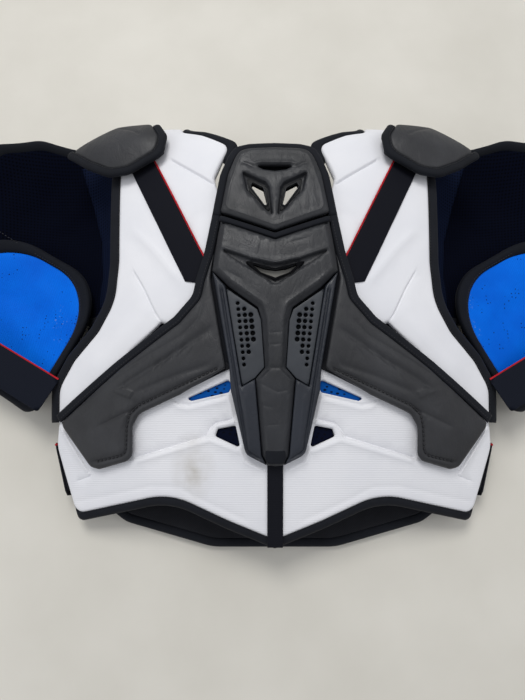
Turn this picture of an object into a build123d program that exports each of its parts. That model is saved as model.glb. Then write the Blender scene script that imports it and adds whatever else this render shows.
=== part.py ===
from build123d import *
import os
from math import atan2, cos, degrees, hypot, radians, sin

# Hockey shoulder pads, lying on their chest with the back side up. Millimetres, +Z up.
# +X is the wearer's right, +Y points to the shoulders and -Y to the hem, and z = 0 is the floor.
# The origin is at the bottom centre of the whole assembly. The right-hand side is built, and
# mirrored to the left. A soft panel is a slab of a smooth height field, cut by an outline in plan.

# ------------------------------------------------------------------ driving dimensions
half_length = 226.0           # from the origin to the shoulders' roll, and to the front hem
clearance = 0.4               # between pieces on different bodies
seam_gap = 0.3                # between neighbours sewn on the same body

# back surface: crest height, its fall to the hem and to the shoulders, and the drop at the sides
crest_height = 108.0
crest_y = 130.0
hem_fall = 0.00049
shoulder_fall = 0.0016
side_drop = 42.0
side_drop_x = 217.0
side_drop_power = 2.2

# layers, from the inside of the back outwards
liner_thickness = 3.0
panel_thickness = 10.0
window_thickness = 2.5
window_depth = 5.0
backing_thickness = 2.2
wing_pad_thickness = 6.0
yoke_binding_thickness = 5.6
guard_base_thickness = 2.2
spine_pad_thickness = 7.5
rail_thickness = 5.5
grille_thickness = 2.6
neck_base_thickness = 3.0
neck_pad_thickness = 8.0
neck_binding_thickness = 7.0

# edges and straps
yoke_binding_width = 8.5
edge_binding_width = 8.0
armhole_binding_width = 10.5
edge_binding_thickness = 8.0
strap_thickness = 1.8
spine_strap_width = 15.0
side_belt_thickness = 2.0
side_belt_width = 56.0
side_belt_depth = 19.0
side_belt_gap = 4.5           # between the foam's side edge and the belt
side_belt_drop = 24.0         # from the waist corner down to the belt's middle

# shoulder arches
arch_roll = 50.0              # how far the arch bulges past the line where it starts to roll over
arch_front_end = 118.0        # where the arch's front leg meets the front panel

# front side, which lies on the floor
front_pad_thickness = 7.0
front_panel_thickness = 4.5
front_hem_width = 9.0
front_hem_height = 8.0

# back and yoke, right half
hem_centre = -209.0
hem_notch = (90.0, -168.0)
hem_corner = (201.0, -187.0)
waist_corner = (222.0, -118.0)
yoke_corner_y = -98.0
seam_tip_y = 79.0             # V seam between neck plate and spine guard, on the centre line
seam_side_y = 98.0            # and where it meets the yoke binding
guard_tip_y = -141.0
neck_top_y = 178.0

# shoulder cap
cap_shell_thickness = 3.0
cap_liner_thickness = 4.0
cap_rise = 36.0               # height gained 100 mm away from the axis or past the bowl's start
cap_bowl_start = -20.0        # along the arm, where the gutter starts to close into a bowl
cap_binding_width = 8.0
floor_gap = 0.1               # under the shoulder cap's lowest point

# bicep guard
arm_apex = (244.0, 89.0)      # middle of the upper end
arm_angle = 30.0              # how far the arm points away from -Y
guard_half_width = 83.0
guard_length = 150.0
guard_top_radius = 74.0
guard_end_radius = 18.0
guard_shell_thickness = 3.0
guard_lining_thickness = 7.0
guard_start_height = 30.0     # top of the lining on the arm's axis
guard_end_height = 11.5
guard_rise = 24.0
guard_binding_width = 10.0
bicep_strap_width = 38.0
bicep_strap_height = 49.0
bicep_strap_sag = 4.0

# epaulet
epaulet_thickness = 7.5
epaulet_lift = -0.5           # top of the epaulet above the crest of the back
epaulet_droop = 0.0025
epaulet_binding_width = 8.0

# vents
perforation_radius = 1.8
perforation_pitch = 5.5
perforation_margin = 3.6

# ------------------------------------------------------------------ levels above the foam's face
backing_top = seam_gap + backing_thickness
wing_pad_top = backing_top + seam_gap + wing_pad_thickness
guard_base_top = backing_top + clearance + guard_base_thickness
spine_pad_top = guard_base_top + seam_gap + spine_pad_thickness
rail_top = guard_base_top + seam_gap + rail_thickness
grille_top = guard_base_top + seam_gap + grille_thickness
neck_base_top = clearance + 0.3 + neck_base_thickness
neck_pad_top = neck_base_top + seam_gap + neck_pad_thickness
liner_top = -panel_thickness - seam_gap
edge_binding_inset = (panel_thickness - edge_binding_thickness) / 2
front_panel_bottom = front_pad_thickness + seam_gap
arch_roll_y = half_length - arch_roll
front_edge = front_hem_width - half_length
cap_thickness = cap_shell_thickness + seam_gap + cap_liner_thickness
guard_thickness = guard_shell_thickness + seam_gap + guard_lining_thickness


# ------------------------------------------------------------------ height fields
def back_height(x, y):
    """Outer face of the foam on the back."""
    fall = hem_fall if y < crest_y else shoulder_fall
    crest = crest_height - fall * (y - crest_y) ** 2
    return crest - side_drop * (abs(x) / side_drop_x) ** side_drop_power


def arm_point(across, along, z=0.0):
    """A point given across the arm and along it from its apex."""
    c, s = cos(radians(arm_angle)), sin(radians(arm_angle))
    return (arm_apex[0] + across * c + along * s, arm_apex[1] + across * s - along * c, z)


def arm_local(x, y):
    """The reverse of arm_point."""
    c, s = cos(radians(arm_angle)), sin(radians(arm_angle))
    dx, dy = x - arm_apex[0], y - arm_apex[1]
    return dx * c + dy * s, dx * s - dy * c


def guard_height(x, y):
    """Top of the bicep guard's lining, a gutter that slopes down along the arm."""
    across, along = arm_local(x, y)
    slope = (guard_end_height - guard_start_height) / (guard_length + guard_binding_width)
    return guard_start_height + slope * along + guard_rise * (across / guard_half_width) ** 2


def cap_height(x, y):
    """Top of the shoulder cap's liner: a gutter that closes into a bowl at the shoulder end."""
    across, along = arm_local(x, y)
    beyond = max(0.0, cap_bowl_start - along)
    return floor_gap + cap_thickness + cap_rise * (across**2 + beyond**2) / 100**2


def strap_height(x, y):
    """Top of the bicep strap, which hangs a little between the guard's sides."""
    across = arm_local(x, y)[0]
    return bicep_strap_height - bicep_strap_sag * (1 - (across / guard_half_width) ** 2)


def epaulet_surface(x, y):
    """Top of the epaulet, which droops outwards and over the roll of the shoulder."""
    over = max(0.0, y - arch_roll_y)
    return crest_height + epaulet_lift - epaulet_droop * (x - 105) ** 2 - 0.008 * over**2


def surface(height, x_range, y_range, step=24.0):
    """A smooth face through a grid of points on a height field."""
    def stations(low, high):
        count = round((high - low) / step)
        return [low + (high - low) * i / count for i in range(count + 1)]
    grid = [[Vector(x, y, height(x, y)) for y in stations(*y_range)] for x in stations(*x_range)]
    return Face.make_surface_from_array_of_points(grid)


back_face = surface(back_height, (-265, 265), (-245, 235))
guard_face = surface(guard_height, (120, 450), (-150, 160))
cap_face = surface(cap_height, (150, 400), (-80, 255))
strap_face = surface(strap_height, (120, 450), (-150, 160))
epaulet_face = surface(epaulet_surface, (90, 245), (125, 225))


# ------------------------------------------------------------------ small helpers
def slab(face, top, thickness):
    """Solid below the face raised by top."""
    return extrude(face.moved(Location((0, 0, top))), amount=thickness, dir=(0, 0, -1))


def outline(points, radius=0.0):
    """Face in plan. The radius is one for every corner, or one for each."""
    path = FilletPolyline(*points, radius=radius, close=True) if radius else Polyline(*points, close=True)
    return Face(Wire(path.edges()))


def prism(face, low=-20.0, high=190.0):
    return extrude(face.moved(Location((0, 0, low))), amount=high - low, dir=(0, 0, 1))


def grown(face, amount):
    return offset(face, amount=amount, kind=Kind.INTERSECTION).faces()[0]


def ring(face, width, gap=seam_gap):
    """Prism of the rim round a face, a gap away from it."""
    return prism(grown(face, width)) - prism(grown(face, gap))


def both_sides(half):
    """Closes the right half of an outline, given from centre line to centre line."""
    return half + [(-x, y) for x, y in reversed(half) if x > 0]


def beside(path, distance):
    """An open path moved to its right, with mitred corners."""
    normals = []
    for (x0, y0), (x1, y1) in zip(path, path[1:]):
        length = hypot(x1 - x0, y1 - y0)
        normals.append(((y1 - y0) / length, (x0 - x1) / length))
    moved = []
    for i, (x, y) in enumerate(path):
        before = normals[max(0, i - 1)]
        after = normals[min(i, len(normals) - 1)]
        scale = distance / (1 + before[0] * after[0] + before[1] * after[1])
        moved.append((x + (before[0] + after[0]) * scale, y + (before[1] + after[1]) * scale))
    return moved


def across(path):
    """An open path that ends on the centre line, carried on to the left side."""
    return path + [(-x, y) for x, y in path[-2::-1]]


def band(path, near, far):
    """Prism of the strip between two distances to the right of an open path."""
    return prism(outline(beside(path, near) + beside(path, far)[::-1]))


# ------------------------------------------------------------------ shared lines in plan, right half
hem_line = [hem_corner, hem_notch, (0.0, hem_centre)]
arch_seam = [(52, 12), (76, 12), (92, -10), (155, -52), (221, yoke_corner_y)]
armhole_line = [(221, yoke_corner_y + 2), (221, -62), (204, -36), (177, -9), (160, 20), (157, 60), (161, 150),
                (163, half_length + 10)]
neck_line = [(97, 203), (75, 196), (46, 180), (53, 161), (60, 142), (59, 136), (52, 110)]
yoke_line = [(61.8, seam_side_y - 3), (68, 62), (76, 34), (80, 19), (97, -1), (155, -41), (222, -90)]
neck_edge = [(0, neck_top_y), (26, neck_top_y - 1), (40, 173.5), (47, 161), (54, 141), (61, seam_side_y)]
guard_edge = [(51, seam_side_y - 1.2), (54.5, 78), (60, 41), (43.5, -50), (40, -76), (27, -132), (10, -139)]
grille_edge = [(46, 23.2), (16, 6), (13, -50), (20, -59.5), (31, -67.5)]


# ------------------------------------------------------------------ back of the vest
def back_outline():
    seam = [(x, y - seam_gap) for x, y in arch_seam]
    return outline(both_sides([(0, 12 - seam_gap)] + seam + [waist_corner] + hem_line))


def upper_window():
    return outline([(85, -77), (44, -60), (41, -66), (44, -72), (80, -79.5)], radius=1.5)


def lower_window():
    return outline([(57, -112.5), (54.5, -105.5), (37.5, -102.5), (33, -123.5)], radius=1.5)


def back_panel():
    panel = slab(back_face, 0, panel_thickness) & prism(back_outline())
    for window in (upper_window(), lower_window()):
        panel -= prism(window) + mirror(prism(window), about=Plane.YZ)
    return panel


def back_liner():
    return slab(back_face, liner_top, liner_thickness) & prism(grown(back_outline(), -4))


def window_insert(window):
    return slab(back_face, -window_depth, window_thickness) & prism(grown(window, -seam_gap))


def hem_binding():
    strip = band(across(hem_line), -seam_gap, -edge_binding_width)
    return slab(back_face, -edge_binding_inset, edge_binding_thickness) & strip


def spine_strap():
    half = spine_strap_width / 2
    area = outline([(-half, guard_tip_y - 1.5), (half, guard_tip_y - 1.5), (half, hem_centre - 6),
                    (-half, hem_centre - 6)])
    return slab(back_face, seam_gap + strap_thickness, strap_thickness) & prism(area)


# ------------------------------------------------------------------ shoulder arches
def arch_curve(x, inset):
    """Side view of a face of the arch: over the back, round the shoulder and under the front."""
    low = front_panel_bottom + inset
    high = back_height(x, arch_roll_y) - inset
    points = [(x, y, back_height(x, y) - inset) for y in (-115, -60, -5, 50, 100, 140)]
    for turn in (0, 30, 60, 90, 120, 150, 180):
        reach = (arch_roll - inset) * sin(radians(turn))
        points.append((x, arch_roll_y + reach, (high + low) / 2 + (high - low) / 2 * cos(radians(turn))))
    points.append((x, arch_front_end, low))
    return Spline(*points)


def arch_sheet(inset, thickness):
    """A layer of the arch that runs from side to side, before it is cut in plan."""
    sections = []
    for x in (35, 75, 110, 145, 175, 205, 240):
        outer = arch_curve(x, inset)
        inner = arch_curve(x, inset + thickness)
        ends = [Line(outer @ 0, inner @ 0), Line(outer @ 1, inner @ 1)]
        sections.append(Face(Wire([outer.edge(), inner.edge()] + [end.edge() for end in ends])))
    return loft(sections, ruled=True)


def shoulder_arch():
    area = outline(arch_seam + armhole_line[1:] + [(104, half_length + 10)] + neck_line)
    return arch_sheet(0, panel_thickness) & prism(area)


def armhole_binding():
    return arch_sheet(edge_binding_inset, edge_binding_thickness) & band(armhole_line, seam_gap,
                                                                         armhole_binding_width)


def collar_band():
    strip = arch_sheet(edge_binding_inset, edge_binding_thickness) & band(neck_line[:3], seam_gap, 9.0)
    return strip.solids().sort_by(Axis.Z)[-1]


def shoulder_strap():
    area = outline([(152, 162), (99, 58), (86, 36), (77.5, 34.5), (69.5, 61.5), (125, 172)])
    level = seam_gap + 0.3 + strap_thickness
    return slab(back_face, level, strap_thickness) & prism(area)


# ------------------------------------------------------------------ yoke
def yoke_backing():
    outer = beside(yoke_line, yoke_binding_width + seam_gap)[3:]
    lower = [(213, -101), (181, -139), (173, -141), (142, -133.5), (139, -130), (139, -104), (130, -89),
             (91, -73), (44, -51)]
    area = outline(both_sides([(0, 10)] + outer + lower + [(0, -51)]))
    return slab(back_face, backing_top, backing_thickness) & prism(area)


def wing_pad():
    inner = [(x + clearance + 1.2, y) for x, y in guard_edge[2:4]]
    upper = beside(yoke_line, yoke_binding_width + seam_gap)[2:]
    lower = [(213.5, -100.5), (181.5, -141), (174.5, -143), (142, -135.5), (137, -131), (137, -104), (130, -91),
             (91, -75)]
    area = outline([inner[1], (inner[0][0] + 1.0, inner[0][1] - 6)] + upper + lower)
    return slab(back_face, wing_pad_top, wing_pad_thickness) & prism(area)


def yoke_binding():
    strip = band(yoke_line, 0, yoke_binding_width)
    return slab(back_face, seam_gap + 0.2 + yoke_binding_thickness, yoke_binding_thickness) & strip


# ------------------------------------------------------------------ neck plate
def neck_pad_half():
    """Right half of the pad's outline, from the top centre to the tip of the seam."""
    side = beside(neck_edge, yoke_binding_width)
    side[0] = (0, side[0][1])
    return side[:-1] + [(side[-1][0], seam_side_y), (0, seam_tip_y)]


def neck_eye():
    """Vent shaped like a slanted eye."""
    return outline([(23, 126), (12, 121), (8, 106), (10, 105.5), (17, 116), (24, 122.5)])


def neck_vents():
    slot = outline([(-18, 148), (0, 142), (18, 148), (0, 139)])
    eye = prism(neck_eye())
    return [prism(slot), eye, mirror(eye, about=Plane.YZ)]


def neck_pad():
    pad = slab(back_face, neck_pad_top, neck_pad_thickness) & prism(outline(both_sides(neck_pad_half())))
    for vent in neck_vents():
        pad -= vent
    return pad


def neck_base():
    base = slab(back_face, neck_base_top, neck_base_thickness)
    base &= prism(grown(outline(both_sides(neck_pad_half())), -seam_gap))
    for vent in neck_vents():
        base -= vent
    return base


def neck_binding():
    half = band(neck_edge, 0, yoke_binding_width - seam_gap)
    both = half + mirror(half, about=Plane.YZ)
    return slab(back_face, clearance + 0.3 + neck_binding_thickness, neck_binding_thickness) & both


# ------------------------------------------------------------------ spine guard
def guard_outline():
    edge = [(x - clearance, y) for x, y in guard_edge]
    return outline(both_sides([(0, seam_tip_y - 1.2)] + edge + [(0, guard_tip_y)]))


def smile_vent():
    return prism(outline([(0, 39), (24, 49), (14, 38), (0, 31), (-14, 38), (-24, 49)]))


def spine_base():
    base = slab(back_face, guard_base_top, guard_base_thickness) & prism(grown(guard_outline(), -0.5))
    return base - smile_vent()


def spine_pad():
    top = [(0, seam_tip_y - 1.2)] + [(x - clearance, y) for x, y in guard_edge[:3]]
    stem = [(43.5, 24.5), (13, 8.5), (10, -50), (18, -61.5), (11.5, -126), (0, -126)]
    area = outline(both_sides(top + stem))
    return (slab(back_face, spine_pad_top, spine_pad_thickness) & prism(area)) - smile_vent()


def perforations():
    """Cylinders on a slanted grid, wherever the grille has room for them."""
    room = grown(outline(grille_edge), -perforation_margin)
    columns = [(16 + perforation_pitch * i, 8 + 0.6 * perforation_pitch * i) for i in range(7)]
    holes = []
    for x, y in columns:
        for row in range(16):
            place = Vector(x - 0.15 * row * perforation_pitch * 0.5, y - row * perforation_pitch, 0)
            if room.is_inside(place, 0.01):
                holes.append(Pos(place.X, place.Y, 60) * Cylinder(perforation_radius, 160))
    return holes


def grille():
    plate = slab(back_face, grille_top, grille_thickness) & prism(outline(grille_edge))
    return plate - perforations()


def spine_rail():
    outer = [(x - clearance, y) for x, y in guard_edge[2:]]
    inner = [(seam_gap, -126.4), (12, -126.4), (18.6, -62), (31.4, -68), (46.6, 23.4)]
    area = outline([(outer[0][0] - 0.2, outer[0][1] - 1.2)] + outer[1:] + [(seam_gap, guard_tip_y)] + inner)
    return slab(back_face, rail_top, rail_thickness) & prism(area)


# ------------------------------------------------------------------ front of the vest
def flat(points, bottom, thickness, radius=0.0):
    return prism(outline(points, radius), bottom, bottom + thickness)


def front_panel():
    half = [(0, 34), (44, 82), (52, arch_front_end - seam_gap), (157, arch_front_end - seam_gap), (154, 30),
            (152, -60), (196, -116), (186, -162), (150, -188), (62, front_edge), (0, front_edge)]
    return flat(both_sides(half), front_panel_bottom, front_panel_thickness)


def front_hem():
    path = [(186, -162), (150, -188), (62, front_edge), (0, front_edge)]
    strip = band(across(path), -seam_gap, -front_hem_width)
    return strip & Pos(0, 0, front_pad_thickness) * Box(500, 600, front_hem_height)


def chest_pad():
    points = [(50, 112), (150, 112), (144, -52), (24, -54), (26, -28), (46, 18)]
    return flat(points, 0, front_pad_thickness, radius=5)


def rib_pad():
    points = [(100, -60), (146, -60), (186, -116), (178, -158), (146, -180), (104, -190)]
    return flat(points, 0, front_pad_thickness, radius=5)


def belly_pad():
    points = both_sides([(0, -60), (94, -60), (97, -190), (60, -204), (0, -204)])
    return flat(points, 0, front_pad_thickness)


def sternum_guard():
    points = both_sides([(0, 100), (34, 92), (38, 22), (20, -20), (0, -26)])
    return flat(points, 0, front_pad_thickness - 0.6)


def side_belt():
    """Hangs edge-on beside the foam between the waist and hem corners."""
    along = (hem_corner[0] - waist_corner[0], hem_corner[1] - waist_corner[1])
    length = hypot(*along)
    ux, uy = along[0] / length, along[1] / length
    out = side_belt_gap + side_belt_thickness / 2
    x = waist_corner[0] + ux * side_belt_drop - uy * out
    y = waist_corner[1] + uy * side_belt_drop + ux * out
    top = back_height(x, y) - panel_thickness / 2
    belt = Rot(0, 0, degrees(atan2(ux, -uy))) * Box(side_belt_thickness, side_belt_width, side_belt_depth)
    return Pos(x, y, top - side_belt_depth / 2) * belt


# ------------------------------------------------------------------ shoulder cap
def cap_outline():
    points = [(186, 14), (181, 100), (212, 202), (262, 212), (312, 200), (338, 110), (326, 62), (262, 34)]
    return outline(points, radius=[12, 30, 30, 40, 30, 30, 12, 20])


def cap_liner():
    return slab(cap_face, 0, cap_liner_thickness) & prism(cap_outline())


def cap_shell():
    return slab(cap_face, -cap_liner_thickness - seam_gap, cap_shell_thickness) & prism(cap_outline())


def cap_binding():
    return slab(cap_face, 0, cap_thickness) & ring(cap_outline(), cap_binding_width)


# ------------------------------------------------------------------ bicep guard and strap
def guard_plan():
    inner = guard_half_width - guard_binding_width
    start, end = guard_binding_width, guard_length
    corners = [(-inner, start), (inner, start), (inner, end), (-inner, end)]
    radii = [guard_top_radius - guard_binding_width] * 2 + [guard_end_radius] * 2
    return outline([arm_point(*corner)[:2] for corner in corners], radius=radii)


def bicep_lining():
    return slab(guard_face, 0, guard_lining_thickness) & prism(guard_plan())


def bicep_shell():
    return slab(guard_face, -guard_lining_thickness - seam_gap, guard_shell_thickness) & prism(guard_plan())


def bicep_binding():
    return slab(guard_face, 1.0, guard_thickness + 1.0) & ring(guard_plan(), guard_binding_width)


def bicep_strap():
    upper = guard_length - bicep_strap_width
    reach = guard_half_width + 9
    corners = [(-reach, upper), (reach, upper), (reach, guard_length), (-reach, guard_length)]
    area = outline([arm_point(*corner)[:2] for corner in corners], radius=4)
    return slab(strap_face, 0, strap_thickness) & prism(area)


# ------------------------------------------------------------------ epaulet
def epaulet_outline():
    points = [(217, 192), (166, 212), (130, 209), (121, 188), (121, 175), (149, 158), (167, 158), (189, 172)]
    return outline(points, radius=4)


def epaulet_pad():
    return slab(epaulet_face, 0, epaulet_thickness) & prism(epaulet_outline())


def epaulet_binding():
    rim = ring(epaulet_outline(), epaulet_binding_width)
    return slab(epaulet_face, -0.5, epaulet_thickness - 1) & rim


# ------------------------------------------------------------------ assembly
single = {
    "back_panel": back_panel, "back_liner": back_liner, "back_hem_binding": hem_binding,
    "spine_strap": spine_strap, "yoke_backing": yoke_backing,
    "neck_plate_pad": neck_pad, "neck_plate_base": neck_base, "neck_plate_binding": neck_binding,
    "spine_guard_pad": spine_pad, "spine_guard_base": spine_base,
    "front_panel": front_panel, "front_hem_binding": front_hem, "belly_pad": belly_pad,
    "sternum_guard": sternum_guard,
}
paired = {
    "shoulder_arch": shoulder_arch, "armhole_binding": armhole_binding, "collar_band": collar_band,
    "shoulder_strap": shoulder_strap, "wing_pad": wing_pad, "yoke_binding": yoke_binding,
    "vent_grille": grille, "spine_guard_rail": spine_rail,
    "chest_pad": chest_pad, "rib_pad": rib_pad, "side_belt": side_belt,
    "shoulder_cap_shell": cap_shell, "shoulder_cap_liner": cap_liner, "shoulder_cap_binding": cap_binding,
    "bicep_guard_shell": bicep_shell, "bicep_guard_lining": bicep_lining,
    "bicep_guard_binding": bicep_binding, "bicep_strap": bicep_strap,
    "epaulet_pad": epaulet_pad, "epaulet_binding": epaulet_binding,
}
parts = {name: make() for name, make in single.items()}
parts["upper_window_right"] = window_insert(upper_window())
parts["lower_window_right"] = window_insert(lower_window())
for name, make in paired.items():
    parts[name + "_right"] = make()
for name in [name for name in parts if name.endswith("_right")]:
    parts[name.replace("_right", "_left")] = mirror(parts[name], about=Plane.YZ)

os.makedirs("parts", exist_ok=True)
for name, shape in parts.items():
    export_step(shape, f"parts/{name}.step")
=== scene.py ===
"""Hockey shoulder pads lying chest down on a pale floor: the looks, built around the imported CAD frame.

Outlines are in plan, in millimetres in the CAD's axes: +X is the wearer's right, +Y points to the
shoulders. The right side is written out and mirrored. A panel is a closed mesh over an outline, with
rounded edges, whose level is measured upwards from a height field, as in the CAD.
"""
from math import acos, atan2, ceil, cos, hypot, pi, radians, sin, tan

import bpy
import numpy as np
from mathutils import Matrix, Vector
from mathutils.geometry import delaunay_2d_cdt


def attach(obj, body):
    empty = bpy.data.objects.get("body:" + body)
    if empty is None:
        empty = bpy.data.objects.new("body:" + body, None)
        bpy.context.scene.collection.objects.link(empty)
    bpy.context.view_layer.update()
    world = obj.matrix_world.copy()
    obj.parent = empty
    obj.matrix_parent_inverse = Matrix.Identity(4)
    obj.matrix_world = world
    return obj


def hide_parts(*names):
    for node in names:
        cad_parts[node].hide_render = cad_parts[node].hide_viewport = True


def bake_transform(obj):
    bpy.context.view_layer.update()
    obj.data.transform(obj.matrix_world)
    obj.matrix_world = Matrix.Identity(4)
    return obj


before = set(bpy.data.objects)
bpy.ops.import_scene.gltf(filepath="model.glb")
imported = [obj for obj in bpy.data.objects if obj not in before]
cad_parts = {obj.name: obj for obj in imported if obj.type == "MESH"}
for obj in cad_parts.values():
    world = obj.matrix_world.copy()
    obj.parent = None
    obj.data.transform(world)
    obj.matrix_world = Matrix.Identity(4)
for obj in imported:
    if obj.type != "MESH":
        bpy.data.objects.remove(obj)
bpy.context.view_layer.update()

MM = 0.001
SIDES = ((1, "right"), (-1, "left"))

# ------------------------------------------------------------------ shape of the CAD, in millimetres
HALF_LENGTH = 226.0                     # from the origin to the shoulders' roll
ARCH_ROLL = 50.0                        # how far the arch bulges past the line where it rolls over
ROLL_Y = HALF_LENGTH - ARCH_ROLL
ARCH_LOW = 7.3                          # outer face of the arch's front leg
ROLL_SPAN = pi * 46.5                   # length round the shoulder's roll
CREST = 108.0                           # top of the back, and the line across it
CREST_Y = 130.0
ARM_APEX = (244.0, 89.0)                # middle of the bicep guard's upper end
ARM_ANGLE = radians(30.0)
ARM_HALF = 83.0                         # half the guard's width, and its length with the binding
ARM_LENGTH = 160.0
EPAULET_TOP = 107.5
FRONT_TOP = 11.8                        # top of the front panel


def back_height(x, y):
    """Outer face of the foam on the back."""
    fall = np.where(y < CREST_Y, 0.00049, 0.0016)
    return CREST - fall * (y - CREST_Y) ** 2 - 42.0 * (np.abs(x) / 217.0) ** 2.2


def arm_local(x, y):
    """Distances across the arm and down it from its apex."""
    c, s = cos(ARM_ANGLE), sin(ARM_ANGLE)
    dx, dy = x - ARM_APEX[0], y - ARM_APEX[1]
    return dx * c + dy * s, dx * s - dy * c


def arm_point(across, along):
    c, s = cos(ARM_ANGLE), sin(ARM_ANGLE)
    return ARM_APEX[0] + across * c + along * s, ARM_APEX[1] + across * s - along * c


def on_back(x, y, level):
    return x, y, back_height(x, y) + level


def on_arch(x, v, level):
    """The shoulder arch unrolled: v is y up to the roll, then the length round it and along the front."""
    turn = np.clip((v - ROLL_Y) / ROLL_SPAN, 0, 1) * pi
    top = back_height(x, ROLL_Y)
    half = (top - ARCH_LOW) / 2
    front = np.maximum(0, v - ROLL_Y - ROLL_SPAN)
    y = np.where(v < ROLL_Y, v, ROLL_Y + (ARCH_ROLL + level) * np.sin(turn) - front)
    rolled = (top + ARCH_LOW) / 2 + (half + level) * np.cos(turn)
    z = np.where(v < ROLL_Y, back_height(x, v) + level, rolled)
    return x, y, z


def on_guard(x, y, level):
    across, along = arm_local(x, y)
    return x, y, 30.0 - 18.5 * along / ARM_LENGTH + 24.0 * (across / ARM_HALF) ** 2 + level


def on_cap(x, y, level):
    across, along = arm_local(x, y)
    beyond = np.maximum(0, -20.0 - along)
    return x, y, 7.4 + 36.0 * (across**2 + beyond**2) / 1e4 + level


def on_strap(x, y, level):
    across = arm_local(x, y)[0]
    return x, y, 49.0 - 4.0 * (1 - (across / ARM_HALF) ** 2) + level


def on_epaulet(x, y, level):
    over = np.maximum(0, y - ROLL_Y)
    return x, y, EPAULET_TOP - 0.0025 * (x - 105.0) ** 2 - 0.008 * over**2 + level


def on_floor(x, y, level):
    return x, y, level + 0 * x


# ------------------------------------------------------------------ outlines
def unit(ax, ay):
    size = hypot(ax, ay)
    return ax / size, ay / size


def rounded(points, radius=0.0, closed=True, step=3.0):
    """Dense points along a polyline whose corners are arcs. A point may carry its own radius."""
    count = len(points)
    out = []
    for i, point in enumerate(points):
        x, y = point[:2]
        r = point[2] if len(point) > 2 else radius
        if not closed and i in (0, count - 1):
            out.append((x, y))
            continue
        before, after = points[i - 1], points[(i + 1) % count]
        ux, uy = unit(before[0] - x, before[1] - y)
        vx, vy = unit(after[0] - x, after[1] - y)
        turn = pi - acos(max(-1, min(1, ux * vx + uy * vy)))
        if r <= 0 or turn < 0.02:
            out.append((x, y))
            continue
        room = 0.48 * min(hypot(before[0] - x, before[1] - y), hypot(after[0] - x, after[1] - y))
        tangent = min(r * tan(turn / 2), room)
        r = tangent / tan(turn / 2)
        bx, by = unit(ux + vx, uy + vy)
        centre = (x + bx * r / cos(turn / 2), y + by * r / cos(turn / 2))
        start = atan2(y + uy * tangent - centre[1], x + ux * tangent - centre[0])
        end = atan2(y + vy * tangent - centre[1], x + vx * tangent - centre[0])
        sweep = (end - start + pi) % (2 * pi) - pi
        pieces = max(2, ceil(abs(sweep) * r / step))
        angles = [start + sweep * k / pieces for k in range(pieces + 1)]
        out += [(centre[0] + r * cos(angle), centre[1] + r * sin(angle)) for angle in angles]
    return dense(out, step, closed)


def dense(points, step, closed=True):
    """The same line with no stretch longer than step."""
    ends = points[1:] + points[:1] if closed else points[1:]
    out = []
    for (x0, y0), (x1, y1) in zip(points, ends):
        pieces = max(1, ceil(hypot(x1 - x0, y1 - y0) / step - 0.01))
        out += [(x0 + (x1 - x0) * k / pieces, y0 + (y1 - y0) * k / pieces) for k in range(pieces)]
    return out if closed else out + [points[-1]]


def flipped(points):
    """The mirror image of a line, keeping any radius."""
    return [(-p[0], *p[1:]) for p in points]


def both_sides(half):
    """Closes a right-hand outline that runs from centre line to centre line."""
    return half + [p for p in flipped(half)[::-1] if p[0] < 0]


def across(path):
    return path + flipped(path)[-2::-1]


def beside(path, distance):
    """An open path moved to its right, with mitred corners."""
    normals = [unit(b[1] - a[1], a[0] - b[0]) for a, b in zip(path, path[1:])]
    moved = []
    for i, point in enumerate(path):
        n, m = normals[max(0, i - 1)], normals[min(i, len(normals) - 1)]
        scale = distance / (1 + n[0] * m[0] + n[1] * m[1])
        moved.append((point[0] + (n[0] + m[0]) * scale, point[1] + (n[1] + m[1]) * scale, *point[2:]))
    return moved


def strip(path, near, far):
    """Closed outline between two distances to the right of an open path."""
    return beside(path, near) + beside(path, far)[::-1]


# ------------------------------------------------------------------ distances and relief
def distance(at, path, closed=False):
    """Distance of each point from a polyline."""
    path = np.array([p[:2] for p in path], float)
    ends = np.roll(path, -1, axis=0) if closed else path[1:]
    starts = path if closed else path[:-1]
    best = np.full(len(at), 1e9)
    for a, b in zip(starts, ends):
        line = b - a
        size = max(line @ line, 1e-9)
        t = np.clip(((at - a) @ line) / size, 0, 1)
        best = np.minimum(best, np.hypot(*(at - a - t[:, None] * line).T))
    return best


def side_of(at, path):
    """+1 where a point lies to the left of the polyline's nearest stretch, else -1."""
    path = np.array([p[:2] for p in path], float)
    best, side = np.full(len(at), 1e9), np.ones(len(at))
    for a, b in zip(path[:-1], path[1:]):
        line = b - a
        t = np.clip(((at - a) @ line) / max(line @ line, 1e-9), 0, 1)
        gap = np.hypot(*(at - a - t[:, None] * line).T)
        cross = line[0] * (at[:, 1] - a[1]) - line[1] * (at[:, 0] - a[0])
        side = np.where(gap < best - 1e-9, np.sign(cross) + (cross == 0), side)
        best = np.minimum(best, gap)
    return side


def inside(at, outline):
    x, y = at[:, 0], at[:, 1]
    result = np.zeros(len(at), bool)
    count = len(outline)
    for i in range(count):
        x0, y0 = outline[i - 1][:2]
        x1, y1 = outline[i][:2]
        if y0 != y1:
            result ^= ((y0 > y) != (y1 > y)) & (x < (x1 - x0) * (y - y0) / (y1 - y0) + x0)
    return result


def smooth(t):
    t = np.clip(t, 0, 1)
    return t * t * (3 - 2 * t)


def end_fade(at, path, fade):
    """0 at a path's two ends, rising to 1 away from them."""
    ends = np.minimum(np.hypot(*(at - path[0]).T), np.hypot(*(at - path[-1]).T))
    return smooth((ends + 0.3 * fade) / fade)


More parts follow.
